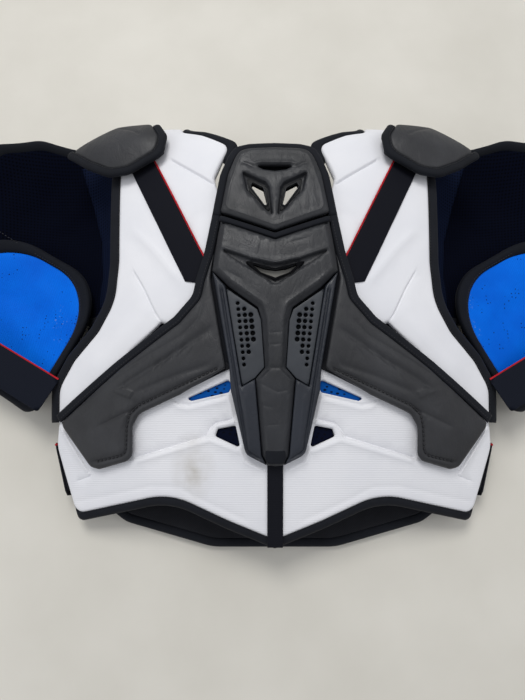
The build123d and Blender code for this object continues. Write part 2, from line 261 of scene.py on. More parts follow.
class Groove:
    """A crease along a path, or a ridge where depth is negative. It fades out towards its ends."""

    def __init__(self, path, width, depth, fade=6.0, radius=3.0, closed=False):
        self.path = rounded(path, radius, closed, step=2.0)
        self.rows = [width * k for k in (-1.6, -0.8, 0, 0.8, 1.6)]
        self.width, self.depth, self.fade, self.closed = width, depth, fade, closed

    def level(self, at):
        shape = -self.depth * np.exp(-(distance(at, self.path, self.closed) / self.width) ** 2)
        if self.fade and not self.closed:
            shape = shape * end_fade(at, self.path, self.fade)
        return shape


class Step:
    """Ground to the left of a path that drops by depth, then recovers over reach."""

    def __init__(self, path, width, depth, reach, fade=8.0, radius=2.0):
        self.path = rounded(path, radius, False, step=2.0)
        self.rows = [width * k for k in (-0.6, -0.2, 0.2, 0.6, 1.0, 1.5)]
        self.width, self.depth, self.reach, self.fade, self.closed = width, depth, reach, fade, False

    def level(self, at):
        signed = distance(at, self.path) * side_of(at, self.path)
        far = np.exp(-np.maximum(signed, 0) / self.reach)
        shape = -self.depth * smooth(0.5 + signed / self.width) * far
        return shape * end_fade(at, self.path, self.fade)


class Plateau:
    """An area raised by height, or sunk where it is negative, with a sloping edge."""

    def __init__(self, outline, height, ramp, radius=2.0):
        self.path = rounded(outline, radius, step=2.0)
        self.rows = [ramp * k for k in (-0.5, -0.17, 0.17, 0.5)]
        self.height, self.ramp, self.closed = height, ramp, True

    def level(self, at):
        signed = distance(at, self.path, True) * np.where(inside(at, self.path), 1, -1)
        return self.height * smooth(0.5 + signed / self.ramp)


# ------------------------------------------------------------------ mesh making
def edge_fall(d, radius, height, flat=0.0):
    """How far a rounded edge has fallen at distance d from the rim; flat makes it a chamfer."""
    t = np.clip(1 - d / radius, 0, 1)
    return height * (1 - np.sqrt(1 - t * t)) * (1 - flat) + height * t * flat


def normals(ahead):
    """Unit vectors to the right of each direction."""
    return np.stack([ahead[:, 1], -ahead[:, 0]], axis=1) / np.maximum(np.hypot(*ahead.T), 1e-9)[:, None]


def rim_distance(at, rim):
    return np.minimum.reduce([distance(at, loop, True) for loop in rim])


def covered(at, rim):
    """Whether each point is inside the outline and outside its holes."""
    keep = inside(at, rim[0])
    for hole in rim[1:]:
        keep &= ~inside(at, hole)
    return keep


def panel_points(rim, relief, radius, step, chamfer):
    """The rims, rows of points beside them and beside each feature's path, and a grid between those."""
    points = [p[:2] for loop in rim for p in loop]
    extra = []
    for loop in rim:
        path = np.array([p[:2] for p in loop], float)
        normal = normals(np.roll(path, -1, axis=0) - np.roll(path, 1, axis=0))
        for share in (0.1, 0.3, 0.6, 1.0) + ((1.15,) if chamfer else ()):
            extra += [(path + normal * radius * share * side, radius * share) for side in (-1, 1)]
    for feature in relief:
        path = np.array(feature.path, float)
        normal = normals(np.gradient(path, axis=0))
        extra += [(path + normal * row, radius * 0.4) for row in feature.rows]
    low_x, low_y = np.min(np.array(points), axis=0)
    high_x, high_y = np.max(np.array(points), axis=0)
    columns, rows = np.arange(low_x, high_x, step), np.arange(low_y, high_y, step * 0.87)
    grid = [(x + step / 2 * (j % 2), y) for j, y in enumerate(rows) for x in columns]
    grid = np.array(grid).reshape(-1, 2)
    near = np.full(len(grid), 1e9)
    for feature in relief:
        near = np.minimum(near, distance(grid, feature.path, feature.closed) - max(feature.rows))
    extra.append((grid[near > step * 0.4], radius + step * 0.35))
    for batch, clear in extra:
        if len(batch):
            keep = covered(batch, rim) & (rim_distance(batch, rim) > clear * 0.97)
            points += [tuple(p) for p in batch[keep]]
    return points


def panel(outline, place, top, thickness, radius=3.0, drop=None, holes=(), relief=(), bulge=0.0, step=6.0,
          wobble=0.0, chamfer=0.0):
    """Closed mesh over a dense outline. drop is how far the top edge falls; bulge swells the middle."""
    drop = thickness / 2 if drop is None else drop
    low = min(thickness - drop, thickness / 2)
    rim = [outline] + list(holes)
    edges, first = [], 0
    for loop in rim:
        edges += [(first + k, first + (k + 1) % len(loop)) for k in range(len(loop))]
        first += len(loop)
    points = panel_points(rim, relief, radius, step, chamfer)
    flat, _, triangles, *_ = delaunay_2d_cdt([Vector(p) for p in points], edges, [], 0, 1e-3)
    at = np.array([tuple(p) for p in flat], float)
    triangles = np.array([t for t in triangles if len(t) == 3], int)
    triangles = triangles[covered(at[triangles].mean(axis=1), rim)]
    gap = rim_distance(at, rim)
    upper = top - edge_fall(gap, radius, drop, chamfer) + bulge * smooth(gap / (radius * 5))
    lower = top - thickness + edge_fall(gap, radius, low)
    for feature in relief:
        upper = upper + feature.level(at) * smooth(gap / (radius * 0.7))
    if wobble:
        waves = np.sin(at[:, 0] * 0.11 + 1.3) * np.sin(at[:, 1] * 0.093)
        upper = upper + wobble * waves * smooth(gap / radius)
    count = len(at)
    verts = np.concatenate([np.stack(place(at[:, 0], at[:, 1], level), 1) for level in (upper, lower)])
    faces = [tuple(t) for t in triangles] + [tuple(t[::-1] + count) for t in triangles]
    sides = {e: True for a, b, c in triangles for e in ((a, b), (b, c), (c, a))}
    faces += [(b, a, a + count, b + count) for a, b in sides if (b, a) not in sides]
    return verts, faces


def piece(points, corner, spacing, place, *sizes, **more):
    """A panel over a given outline, with a radius at its corners and a spacing along its rim."""
    return panel(rounded(points, corner, step=spacing), place, *sizes, **more)


def mirrored(shape):
    verts, faces = shape
    return verts * np.array([-1, 1, 1]), [tuple(f[::-1]) for f in faces]


def add(name, shape, material, body, nodes=()):
    verts, faces = shape
    mesh = bpy.data.meshes.new(name)
    mesh.from_pydata([tuple(v) for v in verts * MM], [], faces)
    obj = bpy.data.objects.new(name, mesh)
    bpy.context.scene.collection.objects.link(obj)
    weld = obj.modifiers.new("weld", "WELD")
    weld.merge_threshold = 0.02 * MM
    graph = bpy.context.evaluated_depsgraph_get()
    obj.data = bpy.data.meshes.new_from_object(obj.evaluated_get(graph))
    obj.modifiers.clear()
    obj.data.polygons.foreach_set("use_smooth", [True] * len(obj.data.polygons))
    obj.data.materials.clear()
    obj.data.materials.append(material)
    if isinstance(body, str):
        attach(obj, body)
    else:
        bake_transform(obj)
    if nodes:
        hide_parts(*nodes)
    return obj


def pair(name, shape, material, body, node=None):
    """A right-hand piece and its mirror image. {} in the body's name takes the side."""
    for side, tag in SIDES:
        add(f"{name}_{tag}", shape if side > 0 else mirrored(shape), material, body.format(tag),
            [f"{node}_{tag}"] if node else ())


def stitches(path, place, level, pitch=3.4, length=2.4, thick=0.45, radius=3.0):
    """Thread dashes along a path, each a small six-sided bead with pointed ends."""
    path = np.array(rounded(path, radius, False, step=1.0), float)
    reach = np.concatenate([[0], np.cumsum(np.hypot(*np.diff(path, axis=0).T))])
    verts, faces = [], []
    for middle in np.arange(pitch, reach[-1] - pitch, pitch):
        a, b = ([np.interp(middle + k * length / 2, reach, path[:, i]) for i in (0, 1)] for k in (-1, 1))
        dx, dy = unit(b[0] - a[0], b[1] - a[1])
        first = len(verts)
        for share, fat in ((0.0, 0.15), (0.25, 1.0), (0.75, 1.0), (1.0, 0.15)):
            cx, cy = a[0] + (b[0] - a[0]) * share, a[1] + (b[1] - a[1]) * share
            for k in range(6):
                side, rise = cos(k * pi / 3) * thick * fat, sin(k * pi / 3) * thick * fat
                x, y = np.float64(cx - dy * side), np.float64(cy + dx * side)
                verts.append([float(c) for c in place(x, y, level + rise)])
        for ring in range(3):
            for k in range(6):
                p, q = first + ring * 6 + k, first + ring * 6 + (k + 1) % 6
                faces.append((p, p + 6, q + 6, q))
        faces.append(tuple(first + k for k in range(6)))
        faces.append(tuple(first + 18 + k for k in range(5, -1, -1)))
    return np.array(verts), faces


def stitched(name, path, place, level, body, pitch=3.2, length=2.2, thick=0.4, radius=3.0):
    """A row of stitches on both sides of the object."""
    pair(name, stitches(path, place, level, pitch, length, thick, radius), thread, body, None)


# ------------------------------------------------------------------ materials
class Nodes:
    """A material's node tree, built with short calls."""

    def __init__(self, name, color, roughness, **sockets):
        self.material = bpy.data.materials.new(name)
        self.material.use_nodes = True
        self.tree = self.material.node_tree
        self.shader = self.tree.nodes["Principled BSDF"]
        self.shader.inputs["Base Color"].default_value = (*color, 1)
        self.shader.inputs["Roughness"].default_value = roughness
        for key, value in sockets.items():
            self.shader.inputs[key.replace("_", " ")].default_value = value
        self.place = self.add("ShaderNodeTexCoord").outputs["Object"]

    def add(self, kind, inputs=None, **settings):
        node = self.tree.nodes.new(kind)
        for key, value in settings.items():
            setattr(node, key, value)
        for key, value in (inputs or {}).items():
            if isinstance(value, bpy.types.NodeSocket):
                self.tree.links.new(value, node.inputs[key])
            else:
                node.inputs[key].default_value = value
        return node

    def mapped(self, scale=(1, 1, 1), turn=0.0, shift=(0, 0, 0)):
        inputs = {"Vector": self.place, "Scale": scale, "Rotation": (0, 0, turn), "Location": shift}
        return self.add("ShaderNodeMapping", inputs).outputs["Vector"]

    def noise(self, scale, detail=3.0, vector=None, distortion=0.0):
        inputs = {"Vector": vector or self.place, "Scale": scale, "Detail": detail,
                  "Distortion": distortion}
        return self.add("ShaderNodeTexNoise", inputs).outputs["Fac"]

    def wave(self, pitch, direction="Y", turn=0.0, distortion=0.0, profile="SIN"):
        """Stripes with a pitch in metres."""
        return self.add("ShaderNodeTexWave", {"Vector": self.mapped(turn=turn), "Scale": pi / 10 / pitch,
                                              "Distortion": distortion, "Detail": 1.0},
                        bands_direction=direction, wave_profile=profile).outputs["Fac"]

    def cells(self, scale, feature="F1", vector=None, randomness=1.0):
        inputs = {"Vector": vector or self.place, "Scale": scale, "Randomness": randomness}
        return self.add("ShaderNodeTexVoronoi", inputs, feature=feature).outputs["Distance"]

    def ramp(self, value, low, high, start=0.0, end=1.0):
        return self.add("ShaderNodeMapRange", {"Value": value, "From Min": low, "From Max": high,
                                               "To Min": start, "To Max": end}).outputs["Result"]

    def maths(self, operation, a, b=0.0):
        return self.add("ShaderNodeMath", {0: a, 1: b}, operation=operation).outputs["Value"]

    def mix(self, factor, a, b):
        node = self.add("ShaderNodeMix", {"Factor": factor}, data_type="RGBA")
        for index, value in ((6, a), (7, b)):
            if isinstance(value, bpy.types.NodeSocket):
                self.tree.links.new(value, node.inputs[index])
            else:
                node.inputs[index].default_value = (*value, 1)
        return node.outputs[2]

    def color(self, value):
        self.tree.links.new(value, self.shader.inputs["Base Color"])
        return self

    def rough(self, value):
        self.tree.links.new(value, self.shader.inputs["Roughness"])
        return self

    def bump(self, *layers):
        """Each layer is a height with its strength and depth in metres; they add up."""
        normal = None
        for height, strength, depth in layers:
            inputs = {"Height": height, "Strength": strength, "Distance": depth}
            if normal:
                inputs["Normal"] = normal
            normal = self.add("ShaderNodeBump", inputs).outputs["Normal"]
        self.tree.links.new(normal, self.shader.inputs["Normal"])
        return self


def white_fabric(name, ribbed):
    m = Nodes(name, (0.8, 0.8, 0.82), 0.62, Sheen_Weight=0.25, Sheen_Roughness=0.5)
    mottle = m.ramp(m.noise(14.0, 5.0), 0.3, 0.7)
    cloth = m.mix(mottle, (0.74, 0.745, 0.78), (0.80, 0.80, 0.825))
    if ribbed:
        spot = m.mapped(scale=(42.0, 27.0, 10.0), shift=(3.3, 3.85, -0.67))
        ball = m.add("ShaderNodeTexGradient", {"Vector": spot}, gradient_type="SPHERICAL").outputs["Fac"]
        dirt = m.maths("MULTIPLY", ball, m.ramp(m.noise(60.0, 6.0), 0.35, 0.7, 0.15, 0.85))
        m.color(m.mix(dirt, cloth, (0.46, 0.43, 0.38)))
        m.bump((m.wave(0.0021), 0.35, 0.0003), (m.noise(900.0, 2.0), 0.25, 0.0002))
    else:
        m.color(cloth)
        m.bump((m.noise(60.0, 3.0), 0.18, 0.0008), (m.noise(1500.0, 2.0), 0.2, 0.0001))
    m.rough(m.ramp(m.noise(220.0), 0.3, 0.7, 0.55, 0.72))
    return m.material


def leather(name, dark, light, gloss=0.46):
    m = Nodes(name, light, gloss, Specular_IOR_Level=0.42)
    patches = m.ramp(m.noise(18.0, 6.0), 0.35, 0.7)
    m.color(m.mix(patches, dark, light))
    creased = m.mapped(scale=(1.0, 0.4, 1.0), turn=0.25)
    folds = m.add("ShaderNodeTexNoise", {"Vector": creased, "Scale": 70.0, "Detail": 7.0, "Roughness": 0.62,
                                         "Distortion": 1.4}).outputs["Fac"]
    cracked = m.mapped(scale=(1.0, 0.33, 1.0), turn=-0.3)
    cracks = m.ramp(m.cells(120.0, "DISTANCE_TO_EDGE", cracked), 0.0, 0.05)
    grain = m.cells(1500.0)
    m.rough(m.ramp(m.noise(40.0, 5.0), 0.3, 0.75, gloss - 0.07, gloss + 0.15))
    m.bump((folds, 0.6, 0.0016), (cracks, 0.1, 0.0004), (grain, 0.3, 0.00016))
    return m.material


def tape(name, color=(0.0045, 0.0055, 0.0085), pitch=0.0009):
    """Folded binding tape with a fine diagonal twill."""
    m = Nodes(name, color, 0.82, Sheen_Weight=0.03, Sheen_Roughness=0.4, Specular_IOR_Level=0.22)
    light = tuple(c * 1.8 + 0.002 for c in color)
    twill = m.wave(pitch, "X", turn=0.8)
    m.color(m.mix(m.ramp(m.maths("MULTIPLY", twill, m.noise(60.0)), 0.1, 0.7), color, light))
    m.bump((twill, 0.4, 0.0002), (m.noise(300.0), 0.3, 0.0003))
    return m.material


def webbing(name, color, turn):
    m = Nodes(name, color, 0.75, Specular_IOR_Level=0.16)
    light = tuple(c * 1.8 + 0.001 for c in color)
    ribs = m.wave(0.0011, "X", turn=turn)
    cords = m.wave(0.0016, "Y", turn=turn)
    m.color(m.mix(m.maths("MULTIPLY", ribs, cords), color, light))
    m.bump((ribs, 0.45, 0.0002), (cords, 0.3, 0.0002))
    return m.material


def spacer_mesh(name, cords=(0.0016, 0.0026, 0.0085)):
    """Thick black mesh with square pores."""
    m = Nodes(name, (0.002, 0.003, 0.007), 0.85, Specular_IOR_Level=0.04)
    pores = m.maths("MULTIPLY", m.wave(0.0034, "X"), m.wave(0.0034, "Y"))
    m.color(m.mix(m.ramp(pores, 0.25, 0.8), cords, (0.0002, 0.0003, 0.001)))
    m.bump((pores, -0.7, 0.0012), (m.noise(40.0, 3.0), 0.5, 0.003))
    return m.material


def blue_lining(name):
    """Bright brushed lining with fine ribs, small punched holes, and wear."""
    m = Nodes(name, (0.0, 0.12, 0.7), 0.6, Specular_IOR_Level=0.06)
    ribs = m.wave(0.0019, "X", turn=-0.35, distortion=0.6)
    tone = m.ramp(m.noise(22.0, 5.0), 0.3, 0.7)
    blue = m.mix(tone, (0.0, 0.115, 0.66), (0.0, 0.165, 0.82))
    blue = m.mix(m.ramp(ribs, 0.0, 1.0, 0.0, 0.3), blue, (0.0, 0.08, 0.55))
    dots = m.maths("LESS_THAN", m.cells(235.0, "F1", randomness=0.3), 0.16)
    spread = m.maths("GREATER_THAN", m.noise(34.0, 2.0), 0.53)
    holes = m.maths("MULTIPLY", dots, spread)
    scuffs, areas = m.ramp(m.noise(420.0, 4.0), 0.63, 0.7), m.ramp(m.noise(16.0, 2.0), 0.60, 0.68)
    worn = m.maths("MULTIPLY", scuffs, areas)
    blue = m.mix(worn, blue, (0.30, 0.45, 0.60))
    m.color(m.mix(holes, blue, (0.002, 0.006, 0.03)))
    m.bump((ribs, 0.3, 0.0004), (holes, -0.6, 0.0005), (m.noise(50.0), 0.3, 0.0015))
    return m.material


def window_mesh(name, color, dark):
    m = Nodes(name, color, 0.7, Specular_IOR_Level=0.08)
    place = m.mapped(scale=(1.0, 1.7, 1.0), turn=0.3)
    dashes = m.maths("LESS_THAN", m.cells(150.0, "F1", place, randomness=0.25), 0.26)
    m.color(m.mix(dashes, color, dark))
    m.bump((dashes, -0.8, 0.0008), (m.noise(500.0), 0.3, 0.0003))
    return m.material


def plastic(name, color, roughness, grain=800.0, shine=0.5):
    m = Nodes(name, color, roughness, Specular_IOR_Level=shine)
    light = tuple(min(1.0, c * 1.25 + 0.004) for c in color)
    m.color(m.mix(m.ramp(m.noise(30.0, 5.0), 0.3, 0.7), color, light))
    m.rough(m.ramp(m.noise(120.0, 4.0), 0.3, 0.7, roughness - 0.06, roughness + 0.1))
    m.bump((m.noise(grain, 2.0), 0.15, 0.0002))
    return m.material


white_ribbed = white_fabric("white_ribbed_fabric", True)
white_smooth = white_fabric("white_smooth_fabric", False)
wing_leather = leather("wing_leather", (0.0165, 0.017, 0.0195), (0.030, 0.031, 0.035))
plate_leather = leather("plate_leather", (0.0125, 0.0135, 0.016), (0.024, 0.0255, 0.030), 0.44)
# Near-black leather for the sheets laid in the neck plate's brow recesses: painted shade of those recesses.
socket_painted_shade = leather("socket_painted_shade", (0.0022, 0.0025, 0.0035), (0.0045, 0.005, 0.006), 0.62)
rail_skin = leather("rail_skin", (0.011, 0.0135, 0.020), (0.020, 0.024, 0.034), 0.42)
binding = tape("binding_tape")
navy_edge = tape("navy_binding", (0.0015, 0.0026, 0.006), 0.0011)
grille_skin = plastic("grille_moulding", (0.024, 0.028, 0.035), 0.5)
tray_plastic = plastic("dark_tray", (0.001, 0.0012, 0.002), 0.7, shine=0.05)
pale_lining = plastic("pale_lining", (0.17, 0.165, 0.15), 0.8)
cap_plastic = plastic("cap_shell_plastic", (0.62, 0.62, 0.64), 0.38)
front_fabric = tape("front_panel_fabric", (0.008, 0.0085, 0.011), 0.0016)
mesh_lining = spacer_mesh("spacer_mesh")
sleeve_mesh = spacer_mesh("sleeve_mesh", (0.006, 0.010, 0.028))
blue_fabric = blue_lining("blue_lining")
window_blue = window_mesh("blue_window_mesh", (0.001, 0.075, 0.33), (0.001, 0.004, 0.02))
window_navy = window_mesh("navy_window_mesh", (0.0005, 0.002, 0.012), (0.0003, 0.0006, 0.003))
black_web = webbing("black_webbing", (0.0035, 0.004, 0.007), 0.0)
slant_web = webbing("slanted_webbing", (0.0016, 0.002, 0.0052), radians(60))
arm_web = webbing("arm_webbing", (0.002, 0.0035, 0.009), radians(30))
red_edge = plastic("red_edge", (0.36, 0.008, 0.014), 0.6, shine=0.15)
thread = plastic("dark_thread", (0.006, 0.006, 0.008), 0.6)

# ------------------------------------------------------------------ shared lines in plan, right half
HEM = [(201, -187, 11), (101, -166, 70), (45, -191, 30), (0, -209, 4)]
ARCH_SEAM = [(52, 12), (76, 12), (92, -10), (155, -52), (221, -98)]
ARMHOLE = [(221, -96), (221, -62, 26), (204, -36, 30), (177, -9, 40), (160, 20, 60), (157, 60, 90),
           (161, 150, 90), (163, 384)]
NECKLINE = [(104, 384), (100, 240, 20), (97, 206.4, 12), (75, 197.7, 12), (46, 180.2, 9), (53, 161, 9),
            (60, 142, 5), (59, 136, 5), (52, 110)]
YOKE = [(61.8, 95), (68, 62, 80), (76, 34, 40), (79, 19, 18), (97, -1, 16), (155, -41, 80), (222, -90)]
NECK = [(0, 178), (26, 177, 20), (40, 173.5, 12), (47, 161, 14), (54, 141, 30), (61, 98)]
GUARD = [(51, 96.8), (54.5, 78, 20), (60, 41, 10), (43.5, -50, 4), (42, -72, 2), (40.5, -78, 2),
         (28, -130, 9), (11, -138.5, 4), (0, -141)]
WING_SEAM = [(52, -50.5), (94, -68.5), (131, -84), (140, -92), (142.5, -104), (143.5, -127), (148, -130.5),
             (178, -136.5)]
UPPER_WINDOW = [(85, -77), (44, -60), (41, -66), (44, -72), (80, -79.5)]
LOWER_WINDOW = [(57, -112.5), (54.5, -105.5), (37.5, -102.5), (33, -123.5)]


# ------------------------------------------------------------------ back panel
def back_relief():
    """Moulded steps, ridges and dents of the lower back, right half and its mirror image."""
    upper_line = [(138, -133), (66, -112.8), (62.5, -106), (57, -100.5), (39, -96.5)]
    paths = [
        (Step, upper_line[::-1], 2.2, 3.0, 26, 4),
        (Groove, upper_line, 1.15, 2.0, 4),
        (Groove, [(136, -137), (62, -117), (33, -128)], 2.0, -1.5, 6),
        (Groove, [(99, -80), (92, -86), (83, -87.5), (46, -79.5)], 2.0, -1.1, 9),
        (Groove, [(100, -76), (91, -81.5), (83, -83.5), (46, -75.5)], 1.4, 1.2, 8),
        (Groove, [(36, -99), (40, -97), (57, -101), (62, -108)], 1.2, 1.4, 3),
        (Groove, [(45.5, -60), (44.5, -76), (34, -122), (29, -137), (12, -145)], 1.5, -1.3, 5),
        (Groove, [(217.5, -102), (186, -147)], 1.5, -2.6, 4),
        (Groove, [(213, -105.5), (183.5, -147)], 1.0, 1.8, 4),
        (Groove, [(182, -145), (184, -150), (200, -155)], 0.8, 1.2, 7),
        (Groove, [(206, -176), (163, -168), (120, -159), (93, -160), (67, -173), (24, -192)], 2.2, 0.6, 16),
    ]
    right = [kind(path, *rest) for kind, path, *rest in paths]
    left = [kind(flipped(path)[::1 if kind is Groove else -1], *rest) for kind, path, *rest in paths]
    return right + left


def build_back():
    seam = [(x, y - 0.3) for x, y in ARCH_SEAM]
    edge = rounded(both_sides([(0, 11.7)] + seam + [(223, -120, 30)] + HEM), 0.0, step=3.5)
    windows = [rounded(side(w), 1.8, step=1.5) for w in (UPPER_WINDOW, LOWER_WINDOW)
               for side in (list, flipped)]
    shape = panel(edge, on_back, 0, 10, 3.0, 2.5, windows, back_relief(), step=6.0)
    add("back_panel_foam", shape, white_ribbed, "torso", ["back_panel"])
    liner = piece(both_sides([(0, 8), (50, 8), (74, 8), (90, -14), (153, -57), (215, -104), (217, -120),
                  (196, -182), (100, -161), (0, -203)]), 6, 8, on_back, -10.3, 3, 1.5, step=12)
    add("back_liner_mesh", liner, mesh_lining, "torso", ["back_liner"])
    near, far = beside(across(HEM), 1.2), beside(across(HEM), -8.0)
    far[0], far[-1] = (*far[0][:2], 7.0), (*far[-1][:2], 7.0)
    wrap = [(208.8, -164)] + near + [(-208.8, -164)] + far[::-1]
    hem = piece(wrap, 0.0, 3.0, on_back, -0.2, 8.6, 4.4, 4.3, step=5)
    add("back_hem_binding_tape", hem, binding, "torso", ["back_hem_binding"])
    row = stitches(across(HEM), on_back, 0.1, 3.2, 2.2, 0.4)
    add("back_hem_stitches", row, thread, "torso", ())
    for name, window, material, slot in (("upper_window", UPPER_WINDOW, window_blue, "blue_mesh"),
                                         ("lower_window", LOWER_WINDOW, window_navy, "navy_mesh")):
        insert = piece(window, 1.5, 2, on_back, -5, 2.5, 0.8, step=4)
        pair(f"{name}_mesh", insert, material, "torso", name)


# ------------------------------------------------------------------ shoulder arches
def build_arches():
    edge = rounded(ARCH_SEAM + ARMHOLE[1:] + NECKLINE, 0.0, step=3.5)
    slot = rounded([(101, -8), (110.5, -3.5), (143, -33), (134, -33)], 0.6, step=2)
    folds = [
        Groove([(145, 94), (121, 70), (88, 29)], 4.0, -1.6, 26, radius=60),
        Groove([(141, 50), (129, 30), (116, 4), (111, -3)], 1.0, 1.3, 12, radius=60),
        Step([(111, -3), (116, 4), (129, 30), (141, 50)][::-1], 3.0, 1.4, 16, 14, radius=60),
        Groove([(107, 168), (84, 151.5), (60, 134)], 1.4, 1.5, 4, radius=30),
        Step([(107, 168), (84, 151.5), (60, 134)], 3.0, 1.6, 16, 8, radius=30),
        Groove([(64, 108), (80, 98), (92, 78)], 5.0, 0.9, 14, radius=30),
        Groove([(150, 20), (168, -10), (206, -52)], 6.0, 1.0, 25, radius=60),
        Groove([(128, 6), (150, -18), (188, -52)], 7.0, -1.0, 22, radius=60),
    ]
    shape = panel(edge, on_arch, 0, 10, 3.6, 3.4, [slot], folds, bulge=0.6, step=6.0, wobble=0.5)
    pair("shoulder_arch_foam", shape, white_smooth, "torso", "shoulder_arch")
    patch = piece([(97, -12), (112, 3), (146, -33), (138, -38)], 1, 3, on_arch, -7, 2, 0.8, step=5)
    pair("vent_slot_backing", patch, mesh_lining, "torso", None)
    tab = piece([(110, -17.6), (129, -29), (131.5, -25.5), (112.5, -14)], 0.8, 2, on_arch, 1.6, 1.4, 0.6,
                step=3)
    pair("woven_tab", tab, binding, "torso", None)
    rim = piece(strip(ARMHOLE, -1.2, 10.3), 0.0, 3, on_arch, 0.0, 8.8, 4.4, 4.4, step=5)
    pair("armhole_binding_tape", rim, binding, "torso", "armhole_binding")
    stitched("armhole_stitches", beside(ARMHOLE, 0.2), on_arch, 0.1, "torso")
    collar = piece(strip(NECKLINE[:6], -1.0, 8.6), 0.0, 3, on_arch, -0.4, 8.4, 4.0, 4.0, step=5)
    pair("collar_band_tape", collar, binding, "torso", "collar_band")


def build_straps():
    """Elastic straps on the back, each with a red edge on the neck side."""
    web = piece([(152, 166), (99, 58, 60), (87, 34), (74, 32), (66.5, 58), (73.5, 65), (127, 172)], 0, 4,
                on_back, 2.4, 1.8, 0.8, step=6)
    pair("shoulder_strap_web", web, slant_web, "torso", "shoulder_strap")
    red = piece([(68, 54), (73.4, 65), (127, 172), (125.2, 172.5), (72, 66), (66.5, 57)], 0, 4, on_back,
                2.7, 1.7, 0.7, step=4)
    pair("shoulder_strap_red_edge", red, red_edge, "torso", None)
    half = 7.5
    spine = piece([(-half, -134), (half, -134), (half, -216), (-half, -216)], 0.6, 3, on_back, 2.3, 1.8,
                  0.8, step=4)
    start, end = (0, -0.168, 0.06), (0, -0.138, 0.07)
    add("spine_strap_web", spine, black_web, ("torso", "spine_guard", start, end), ["spine_strap"])


# ------------------------------------------------------------------ yoke
def build_yoke():
    filler = [(46, 90), (54.5, 96), (60, 62), (69, 31), (66, 10), (50, -46), (38, -46), (52, 24), (50, 60)]
    strip_shape = piece(filler, 1, 5, on_back, 2.75, 2.4, 1.0, step=8)
    pair("guard_side_backing", strip_shape, binding, "torso", None)
    inner = beside(YOKE, 8.9)
    lower = [(213, -101), (181, -139), (173, -141), (142, -133.5), (139, -130), (139, -104), (130, -89),
             (91, -73), (44, -51)]
    backing = piece(both_sides([(0, 10)] + inner[3:] + lower + [(0, -51)]), 1.0, 6, on_back, 2.5, 2.2, 1.0,
                    step=10)
    add("yoke_backing_fabric", backing, front_fabric, "torso", ["yoke_backing"])
    edge = [(46.5, -50.5, 2), (61.5, 34, 9), (59.2, 58)] + inner[2:-1] + [(213.5, -97, 4), (213, -102, 6),
            (181.5, -141, 9), (172, -143.2, 6), (142, -135.5, 8), (137, -130, 6), (137, -103, 9),
            (130, -91.5, 12), (91, -75)]
    relief = [
        Groove([(60, -14), (100, -39), (152, -68)], 2.6, 1.9, 16, radius=60),
        Groove([(60, -47), (94, -57.5), (134, -72.5)], 2.4, 1.5, 16, radius=60),
        Groove([(68, 14), (72, -4), (88, -20), (152, -54), (196, -85)], 1.6, 0.8, 20, radius=14),
        Groove(WING_SEAM, 1.5, 2.0, 4, radius=8),
        Groove([(132, -86), (173, -103)], 1.3, 1.2, 14),
        Plateau([(158, -69.5), (146, -66.5), (135, -71), (138.5, -77.5)], 1.2, 3.0, 1.0),
        Groove([(84, -28), (98, -44)], 1.2, 0.5, 8), Groove([(96, -34), (112, -52)], 1.2, 0.5, 8),
        Groove([(108, -42), (122, -60)], 1.1, 0.45, 8), Groove([(72, -24), (84, -42)], 1.1, 0.4, 8),
    ]
    pad = piece(edge, 0.0, 3, on_back, 8.8, 6.0, 3.4, 3.2, (), relief, bulge=0.8, step=5)
    pair("wing_pad_leather", pad, wing_leather, "torso", "wing_pad")
    stitched("wing_stitches", WING_SEAM, on_back, 7.9, "torso", 4.2, 2.9, 0.85, 8)
    rim = piece(strip([(60.9, 100.5)] + YOKE[1:], -0.2, 9.2), 0.0, 3, on_back, 6.4, 5.9, 3.0, 2.9, step=4)
    pair("yoke_binding_tape", rim, binding, "torso", "yoke_binding")
    stitched("yoke_binding_stitches", beside(YOKE, 6.3), on_back, 6.3, "torso", 3.0, 2.0)


